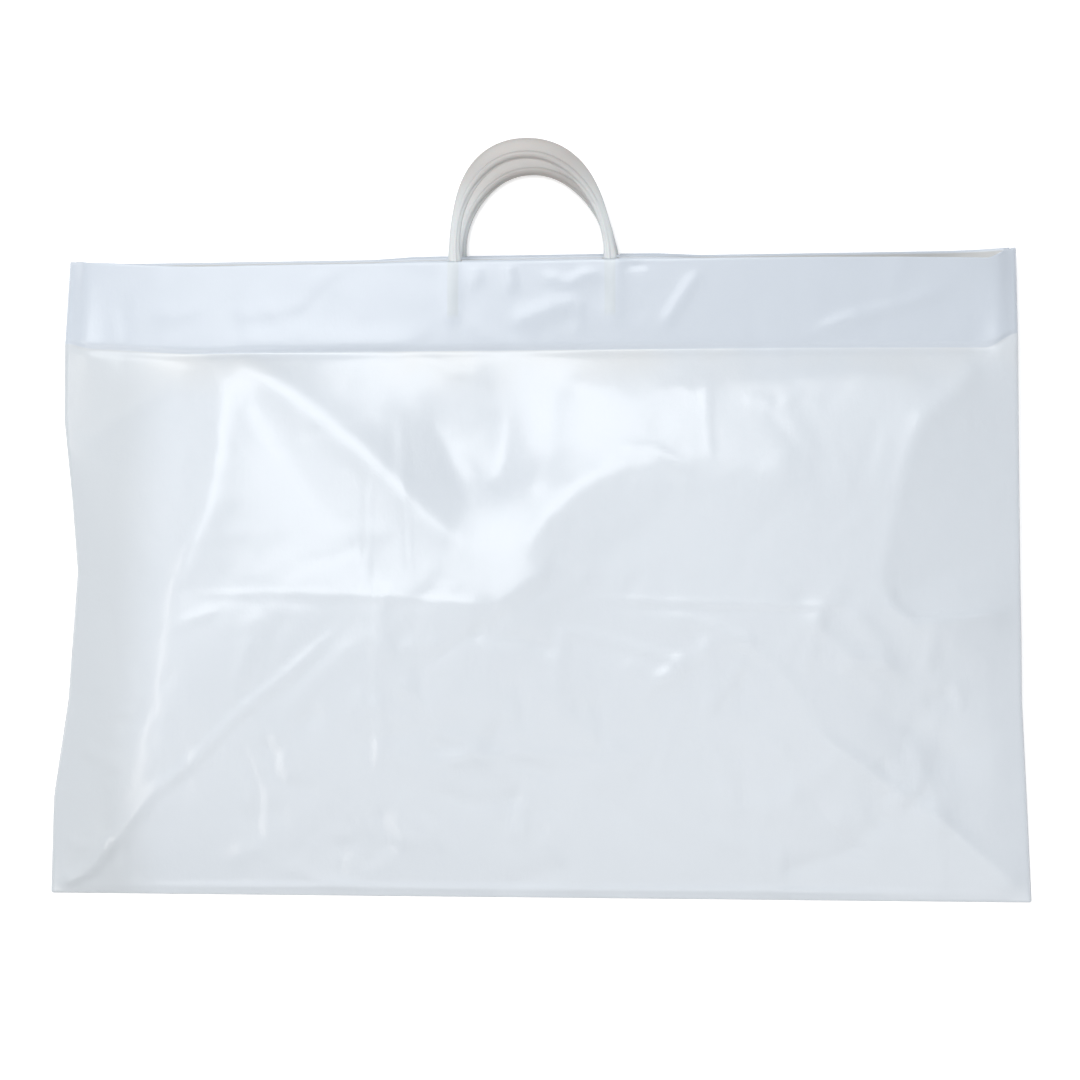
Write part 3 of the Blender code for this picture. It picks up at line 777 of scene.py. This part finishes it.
def turned(outer, inner, angle):
    """A ring of the fold at the mouth, part of the way from the outer ply to the inner one."""
    turn = math.radians(angle)
    ring = outer.copy()
    ring[:, 1] += ply_step(outer[:, 0]) / 2 * math.sin(turn)
    ring[:, 2] += (inner[:, 2] - outer[:, 2]) * (1 - math.cos(turn)) / 2
    return ring


body_levels = stepped(BODY_STEPS, HEIGHT - HEM)
hem_levels = stepped(HEM_STEPS, HEM)[1:]
rings = [level(share, 0.0) for share in body_levels]
rings += [level(1.0, share) for share in hem_levels]
inner_levels = [1 - row / INNER_ROWS for row in range(INNER_ROWS + 1)]
inner_rings = [level(1.0, share, inner=True) for share in inner_levels]
turned_rings = [turned(rings[-1], inner_rings[0], angle) for angle in FOLD_TURNS]
print(len(rings), "rings of", len(rings[0]), "points")

# %% [markdown]
# Two rings that follow each other are joined by a strip of patches. The turned-in ply has no strip at
# the seams, where it would double the weld, and the fold at the mouth is left open where the stems
# of the loops go in. The bottom is closed last, by zipping the two panels to one shared row.

# %% Outer ply
FRONT = COLUMNS + 1
REAR = REAR_COLUMNS + 1
RING = FRONT + REAR + 2


def patch(k, i, j):
    """The corners between rings k and k + 1, and between points i and j of a ring."""
    return k * RING + i, k * RING + j, (k + 1) * RING + j, (k + 1) * RING + i


points = np.concatenate(rings + turned_rings + inner_rings)
faces = [patch(k, i, (i + 1) % RING) for k in range(len(rings) - 1) for i in range(RING)]
print("outer ply:", len(faces), "patches")


# %% Turned-in ply
def in_span(ring, i):
    """Whether the turned-in ply has a strip between points i and i + 1 of a ring."""
    along_front = 1 <= i < FRONT
    along_rear = FRONT + 2 <= i < RING - 1
    if not (along_front or along_rear):
        return False
    middle = (ring[i, 0] + ring[i + 1, 0]) / 2
    return min(middle - ring[0, 0], ring[FRONT + 1, 0] - middle) > INNER_STOP


def in_slot(ring, i):
    """Whether a stem of a loop passes through the fold between points i and i + 1 of a ring."""
    shift = FRONT_SHIFT if i < FRONT else REAR_SHIFT
    middle = (ring[i, 0] + ring[i + 1, 0]) / 2 - shift
    return any(abs(middle - strand) < SLOT_HALF for strand in STRAND_MIDDLES)


first = len(rings) - 1
for k in range(first, first + len(turned_rings) + len(inner_rings)):
    for i in range(RING - 1):
        in_fold = first + 1 <= k < first + len(turned_rings)
        if in_span(rings[-1], i) and not (in_fold and in_slot(rings[-1], i)):
            faces.append(patch(k, i, i + 1))
print("both plies:", len(faces), "patches")

# %% Bottom fold
# One more row of points, lowest in y, that the front and the rear panel share.
fold_start = len(points)
front_row = rings[0][1:1 + FRONT]
fold_row = np.stack([front_row[:, 0], np.full(FRONT, BOTTOM), np.full(FRONT, EDGE)], axis=1)
points = np.concatenate([points, fold_row])
for i in range(FRONT - 1):
    faces.append((fold_start + i, fold_start + i + 1, 2 + i, 1 + i))


def zipped(lower, upper, all_points):
    """Triangles between two rows of points that run the same way but differ in number."""
    made = []
    i = j = 0
    while i < len(lower) - 1 or j < len(upper) - 1:
        next_i = all_points[lower[i + 1], 0] if i < len(lower) - 1 else math.inf
        next_j = all_points[upper[j + 1], 0] if j < len(upper) - 1 else math.inf
        if next_i <= next_j:
            made.append((lower[i], lower[i + 1], upper[j]))
            i += 1
        else:
            made.append((lower[i], upper[j + 1], upper[j]))
            j += 1
    return made


fold_ids = list(range(fold_start, fold_start + FRONT))
rear_ids = list(range(RING - 1, FRONT + 1, -1))
faces += zipped(fold_ids, rear_ids, points)
faces += [(0, 1, fold_ids[0]), (0, fold_ids[0], rear_ids[0])]
faces += [(FRONT + 1, fold_ids[-1], FRONT), (FRONT + 1, rear_ids[-1], fold_ids[-1])]

print("closed web:", len(points), "points and", len(faces), "faces")

# %% Web of film
film_mesh = bpy.data.meshes.new("bag")
film_mesh.from_pydata((points * MM).tolist(), [], faces)
film = bpy.data.objects.new("bag", film_mesh)
bpy.context.scene.collection.objects.link(film)
print("web:", len(film_mesh.polygons), "faces")

# %% [markdown]
# The web also gets a UV map of its own, as if it were laid out flat: u goes once round the bag, and v
# climbs from the bottom fold (0) over the mouth (1) into the turned-in ply. The material reads from it
# which part of the film it is on. An unwrap by angle would cut the web into patches and lose that.

# %% UV of the web
front_share = np.linspace(0, 1, FRONT)
rear_share = 1 + (1 - np.concatenate([[0.0], REAR_ACROSS, [1.0]])[::-1])
ring_share = np.concatenate([[0.0], front_share, [1.0], rear_share])
levels = [(ring[0, 1] - BOTTOM) / HEIGHT for ring in rings] + [1.0] * len(turned_rings)
levels += [1 + (1 - share) * HEM / HEIGHT for share in inner_levels]
web = np.array([(across, up) for up in levels for across in ring_share] + [(s, 0.0) for s in front_share])
uv = film_mesh.uv_layers.new(name="web")
corners = np.zeros(len(film_mesh.loops), dtype=np.int32)
film_mesh.loops.foreach_get("vertex_index", corners)
uv.data.foreach_set("uv", web[corners].astype(np.float32).ravel())
print("v runs from", web[:, 1].min(), "to", round(float(web[:, 1].max()), 3))

# %% [markdown]
# A sheet with no thickness has open edges and two bad sides. Real film is under a tenth of a millimetre
# thick. The wall here is that of the solids, 0.4 mm, put on by Solidify on the inner side so that the
# outside stays where it is.

# %% Wall and skin
bpy.ops.object.select_all(action="DESELECT")
film.select_set(True)
bpy.context.view_layer.objects.active = film
bpy.ops.object.mode_set(mode="EDIT")
bpy.ops.mesh.select_all(action="SELECT")
bpy.ops.mesh.delete_loose()
bpy.ops.mesh.select_all(action="SELECT")
bpy.ops.mesh.normals_make_consistent(inside=False)
bpy.ops.object.mode_set(mode="OBJECT")
wall = film.modifiers.new("wall", "SOLIDIFY")
wall.thickness = WALL * MM
wall.offset = -1.0
wall.use_even_offset = True
bpy.ops.object.modifier_apply(modifier="wall")
bpy.ops.object.shade_smooth()
triangles = sum(len(face.vertices) - 2 for face in film.data.polygons)
print("film:", triangles, "triangles")

# %% [markdown]
# ## Film material
#
# Carrier film is white pigment in clear plastic. A little light goes through it, it has a soft gloss
# that is broken up by a fine orange-peel, and where two plies lie on each other it looks denser and
# bluer. So the colour is mixed by the film's own v, which says how far up the web a point is, and the
# gloss by two scales of noise. It could be made clear, with light passing through, but a clear wall of
# 0.4 mm looks like jelly and not like film. So what shows through is put into the colour: the second
# ply and the stems inside the hem. Painted light goes into it too: the facets along the left side get
# painted shade with a warm painted reflection, and the turned-in rear ply inside the mouth painted shade.

# %% Film gloss
graph = Graph(
    "white_film", Metallic=0.0, IOR=1.5, Specular_IOR_Level=0.5, Coat_Weight=0.85, Coat_Roughness=0.24,
    Subsurface_Weight=0.12, Subsurface_Radius=(1.0, 1.0, 1.0), Subsurface_Scale=0.004,
)
where = graph.place()
web_place = graph.node("ShaderNodeUVMap", {"uv_map": "web"}, {})
cloud = graph.noise(where, 9.0, 3.0, 0.55)
haze = graph.noise(where, 60.0, 2.0, 0.5)
graph.feed("Roughness", 0.44 + cloud * 0.10 + haze * 0.05)
print("film gloss:", len(graph.tree.nodes), "nodes")

# %% Film colour
COOL_WHITE, BRIGHT_WHITE, TWO_PLY_BLUE = (0.70, 0.755, 0.815), (0.74, 0.79, 0.85), (0.63, 0.69, 0.77)
WARM_WHITE, SIDE_PAINTED_SHADE = (0.74, 0.75, 0.74), (0.605, 0.645, 0.68)
STEM_SHADE, INSIDE_PAINTED_SHADE = (0.56, 0.61, 0.61), (0.52, 0.52, 0.51)

across_web, up_web = (graph.axis(web_place, axis) for axis in range(2))
across_place, up_place, high_place = (graph.axis(where, axis) for axis in range(3))
two_plies = graph.ramp(up_web, 0.861, 0.8635)
colour = graph.mixed(two_plies, graph.mixed(cloud, COOL_WHITE, BRIGHT_WHITE), TWO_PLY_BLUE)
warm = graph.ramp(up_place, 0.100, 0.136) * (1 - two_plies) * graph.ramp(cloud, 0.35, 0.7)
colour = graph.mixed(warm * 0.6, colour, WARM_WHITE)
# Painted shade with a warm painted reflection: the facets along the left side are made greyer and warmer.
left_painted_shade = (1 - graph.ramp(across_place, -0.262, -0.222)) * (1 - two_plies)
colour = graph.mixed(left_painted_shade * 0.7, colour, SIDE_PAINTED_SHADE)
in_front_hem = graph.ramp(up_place, 0.155, 0.160) * graph.ramp(high_place, 0.014, 0.018)
left_stem = 1 - graph.ramp((across_place + 0.0495).size(), 0.0026, 0.0042)
right_stem = 1 - graph.ramp((across_place - 0.0485).size(), 0.0026, 0.0042)
colour = graph.mixed(in_front_hem * left_stem.most(right_stem) * 0.42, colour, STEM_SHADE)
# Painted shade: the turned-in rear ply, seen inside the mouth, is made grey.
rear_inside_painted_shade = graph.ramp(up_web, 1.0005, 1.004) * graph.ramp(across_web, 1.0, 1.001)
colour = graph.mixed(rear_inside_painted_shade, colour, INSIDE_PAINTED_SHADE)
graph.feed("Base Color", colour)
print("with its colour:", len(graph.tree.nodes), "nodes")

# %% Film surface
fine = graph.noise(where, 900.0, 2.0, 0.5)
crinkle = graph.noise(graph.stretched(where, (1.0, 0.55, 1.0)), 55.0, 4.0, 0.6)
creases = graph.node(
    "ShaderNodeTexNoise", {"noise_type": "RIDGED_MULTIFRACTAL"},
    {"Vector": where, "Scale": 13.0, "Detail": 4.0, "Roughness": 0.45, "Distortion": 0.6},
)
lively = graph.ramp(up_place + cloud * 0.15, -0.10, 0.16)
normal = graph.bump(crinkle, 0.0012, 0.35)
normal = graph.bump(creases * lively, 0.0006, 0.5, normal)
normal = graph.bump(fine, 0.00004, 0.5, normal)
graph.feed("Normal", normal)
film.data.materials.append(graph.material)
print("with its surface:", len(graph.tree.nodes), "nodes")

# %% [markdown]
# The film stands in for the solid of the bag. It is one sheet that was folded: its flat size is the
# width by both panels and both hems.

# %% Film in its place
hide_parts("bag_film")
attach(film, "root")

# %% [markdown]
# ## Handles
#
# Each loop is moulded in soft plastic: a flat band that is broad at the grip and narrow at the stems,
# with a round bead along its inner edge that keeps it from cutting into the hand. It could be a bevelled
# curve, but a curve has one section all the way. So the band is lofted: circles are added one after the
# other along the path, each turned across it and squashed to its own width and thickness, and bridged.
# The bead is a second, rounder loft that is then united with the band.

# %% Path of a loop
LOOP_SPACING, LOOP_RISE, LOOP_LEAN, LOOP_SQUARENESS = 97.5, 70.0, 3.5, 2.14
STEM_LENGTH, STEM_WIDTH = 44.0, 8.0
LEG_WIDTH, LEG_THICKNESS = 6.8, 3.2
GRIP_WIDTH, GRIP_THICKNESS, GRIP_START = 13.5, 4.0, 0.35
STEM_STAND, STEM_TAPER = 2.5, 9.0
STEM_STATIONS, LOOP_STATIONS = 5, 64
POCKET_MIDDLE = WALL + (STEM_THICKNESS + 2 * STEM_ROOM) / 2


def loop_path(sink):
    """x, height above the mouth, width, thickness and share of the grip at each station of the band."""
    half = LOOP_SPACING / 2
    below = [-STEM_LENGTH * (1 - step / STEM_STATIONS) - sink for step in range(STEM_STATIONS)]
    path = [(-half, up, STEM_WIDTH, STEM_THICKNESS, 0.0) for up in below]
    for step in range(LOOP_STATIONS + 1):
        angle = math.pi * (1 - step / LOOP_STATIONS)
        power = 2 / LOOP_SQUARENESS
        rise = abs(math.sin(angle)) ** power
        up = LOOP_RISE * rise - sink
        x = half * math.copysign(abs(math.cos(angle)) ** power, math.cos(angle)) - LOOP_LEAN * rise
        grip = float(smooth((rise - GRIP_START) / (1 - GRIP_START)))
        leave = float(smooth((up - STEM_STAND) / STEM_TAPER))
        width = STEM_WIDTH + (LEG_WIDTH - STEM_WIDTH) * leave
        width += (GRIP_WIDTH - width) * grip
        thickness = STEM_THICKNESS + (LEG_THICKNESS - STEM_THICKNESS) * leave
        thickness += (GRIP_THICKNESS - thickness) * grip
        path.append((x, up, width, thickness, grip))
    path += [(half, up, STEM_WIDTH, STEM_THICKNESS, 0.0) for up in reversed(below)]
    return path


print(len(loop_path(0.0)), "stations on a loop")

# %% [markdown]
# The rear loop is the same loop, tucked 9 mm deeper into its hem and lying flat on the table. The front
# one stands in the tilted front hem, and its grip bends up by 16 mm.

# %% Stations of both loops
LOOPS = {
    "handle_front": {
        "mouth": (TOP - TOP_SAG, MOUTH_Z + HEM_STEP - POCKET_MIDDLE),
        "shift": FRONT_SHIFT, "sink": 0.0, "lift": 16.0, "tilted": 1.0,
    },
    "handle_rear": {
        "mouth": (TOP, POCKET_MIDDLE), "shift": REAR_SHIFT, "sink": 9.0, "lift": 0.0, "tilted": 0.0,
    },
}


def stations(mouth, shift, sink, lift, tilted):
    """Middle, direction across the band, width, thickness and grip share of each station."""
    path = loop_path(sink)
    grip_up = LOOP_RISE - sink
    drawn_in = grip_up - math.sqrt(grip_up ** 2 - lift ** 2)
    made = []
    for i, (x, up, width, thickness, grip) in enumerate(path):
        before, after = path[max(i - 1, 0)], path[min(i + 1, len(path) - 1)]
        along = Vector((after[0] - before[0], after[1] - before[1])).normalized()
        rise = max(up, 0.0) / grip_up
        y = mouth[0] + up - drawn_in * rise * rise
        z = mouth[1] + lift * rise * rise * (2 - rise)
        z += tilted * float(hem_tilt(0.5 + x / WIDTH)) * (1 - HEM_PIVOT + min(up, 0.0) / HEM)
        middle = Vector((x + shift, y, z))
        made.append((middle, Vector((-along.y, along.x, 0.0)), width, thickness, grip))
    return made


for name, loop in LOOPS.items():
    highest = max(middle.z for middle, *_ in stations(**loop))
    print(name, "rises to", round(highest, 1), "mm above the table")

# %% [markdown]
# A loft starts as one circle whose points are deleted again, which leaves an empty mesh at the origin.
# Each section is then a circle of its own, squashed, turned across the path, and bridged to the next.

# %% Loft along a loop
BAND_SIDES, BEAD_SIDES = 20, 14
UPWARDS = Vector((0.0, 0.0, 1.0))


def loft(name, sections, sides):
    """A closed tube through flattened circles. Each section: middle, direction across, width, thickness."""
    bpy.ops.object.select_all(action="DESELECT")
    bpy.ops.mesh.primitive_circle_add(vertices=sides, radius=0.5, location=sections[0][0] * MM)
    made = bpy.context.object
    made.name = name
    bpy.ops.object.transform_apply(location=True, rotation=False, scale=False)
    bpy.ops.object.mode_set(mode="EDIT")
    bpy.ops.mesh.select_all(action="SELECT")
    bpy.ops.mesh.delete(type="VERT")
    for middle, across, width, thickness in sections:
        here = {"center_override": middle * MM}
        bpy.ops.mesh.primitive_circle_add(vertices=sides, radius=MM / 2, location=middle * MM)
        bpy.ops.transform.resize(value=(width, thickness, 1.0), **here)
        turn = Matrix((across, UPWARDS, across.cross(UPWARDS))).transposed()
        for axis, angle in zip("XYZ", turn.to_euler()):
            bpy.ops.transform.rotate(value=-angle, orient_axis=axis, orient_type="GLOBAL", **here)
    bpy.ops.mesh.select_all(action="SELECT")
    bpy.ops.mesh.bridge_edge_loops()
    bpy.ops.mesh.select_all(action="DESELECT")
    bpy.ops.mesh.select_non_manifold()
    bpy.ops.mesh.edge_face_add()
    bpy.ops.mesh.select_all(action="SELECT")
    bpy.ops.mesh.normals_make_consistent(inside=False)
    bpy.ops.object.mode_set(mode="OBJECT")
    return made


print("a ring has", BAND_SIDES, "points on the band and", BEAD_SIDES, "on the bead")

# %% Handles
# The bead's diameter on the stem and at the grip, its height above the band's middle, and how much
# thinner the band gets beside it.
BEAD_STEM, BEAD_GRIP, BEAD_LIFT, BAND_THINNER = 3.0, 4.6, 0.5, 1.6


def loop_piece(name, loop):
    """The band of a loop and its bead, united."""
    band_sections, bead_sections = [], []
    for middle, across, width, thickness, grip in stations(**loop):
        bead = BEAD_STEM + (BEAD_GRIP - BEAD_STEM) * grip
        band_sections.append((middle, across, width, thickness - BAND_THINNER * grip))
        inwards = -across * (width / 2 - bead * 0.62) * (0.35 + 0.65 * grip)
        bead_sections.append((middle + inwards + Vector((0.0, 0.0, BEAD_LIFT)), across, bead, bead))
    band = loft(name + "_visual", band_sections, BAND_SIDES)
    bead = loft("bead", bead_sections[2:-2], BEAD_SIDES)
    union = band.modifiers.new("bead", "BOOLEAN")
    union.operation = "UNION"
    union.solver = "EXACT"
    union.object = bead
    bpy.ops.object.select_all(action="DESELECT")
    bpy.context.view_layer.objects.active = band
    band.select_set(True)
    bpy.ops.object.modifier_apply(modifier="bead")
    bpy.data.objects.remove(bead)
    bpy.ops.object.shade_smooth_by_angle(angle=math.radians(50))
    return band


pieces = {}
for name, loop in LOOPS.items():
    pieces[name] = loop_piece(name, loop)
    sides = [round(side / MM, 1) for side in pieces[name].dimensions]
    print(name, len(pieces[name].data.polygons), "faces,", sides, "mm")

# %% [markdown]
# ## Handle material
#
# The loops are moulded in milky plastic with a satin skin. The grips look greyer than the legs, which
# take on the white of the film beside them. One colour for both would be simpler, but the change of
# tone is plain to see, so the colour turns with the height above the mouth: the legs get painted light
# from the film, the grips painted shade with a warm cast. Fine lengthwise draw marks and a very fine
# grain break up the gloss.

# %% Handle material
# Painted light and shade: lit colours for the legs, and greyer, warmer shaded colours for the grips.
LEG_LIT_COLOURS = (0.64, 0.675, 0.69), (0.70, 0.73, 0.74)
GRIP_SHADED_COLOURS = (0.455, 0.437, 0.42), (0.52, 0.502, 0.485)

graph = Graph("handle_plastic", Metallic=0.0, IOR=1.5, Subsurface_Weight=0.1, Subsurface_Scale=0.003)
where = graph.place()
# The painted shade of the grips takes over with the height above the mouth.
grip_shade_share = graph.ramp(graph.axis(where, 1), 0.215, 0.258)
cloud = graph.noise(where, 40.0, 3.0, 0.6)
leg_lit_colour, grip_shaded_colour = (graph.mixed(cloud, *colours) for colours in (LEG_LIT_COLOURS, GRIP_SHADED_COLOURS))
graph.feed("Base Color", graph.mixed(grip_shade_share, leg_lit_colour, grip_shaded_colour))
graph.feed("Roughness", 0.30 + cloud * 0.14)
grain = graph.noise(where, 1400.0, 2.0, 0.5)
draw = graph.noise(graph.stretched(where, (1.0, 0.3, 1.0)), 160.0, 3.0, 0.5)
normal = graph.bump(draw, 0.0004, 0.3)
graph.feed("Normal", graph.bump(grain, 0.00003, 0.5, normal))
for name, piece in pieces.items():
    piece.data.materials.clear()
    piece.data.materials.append(graph.material)
    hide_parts(name)
    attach(piece, "root")
print("handle material:", len(graph.tree.nodes), "nodes")
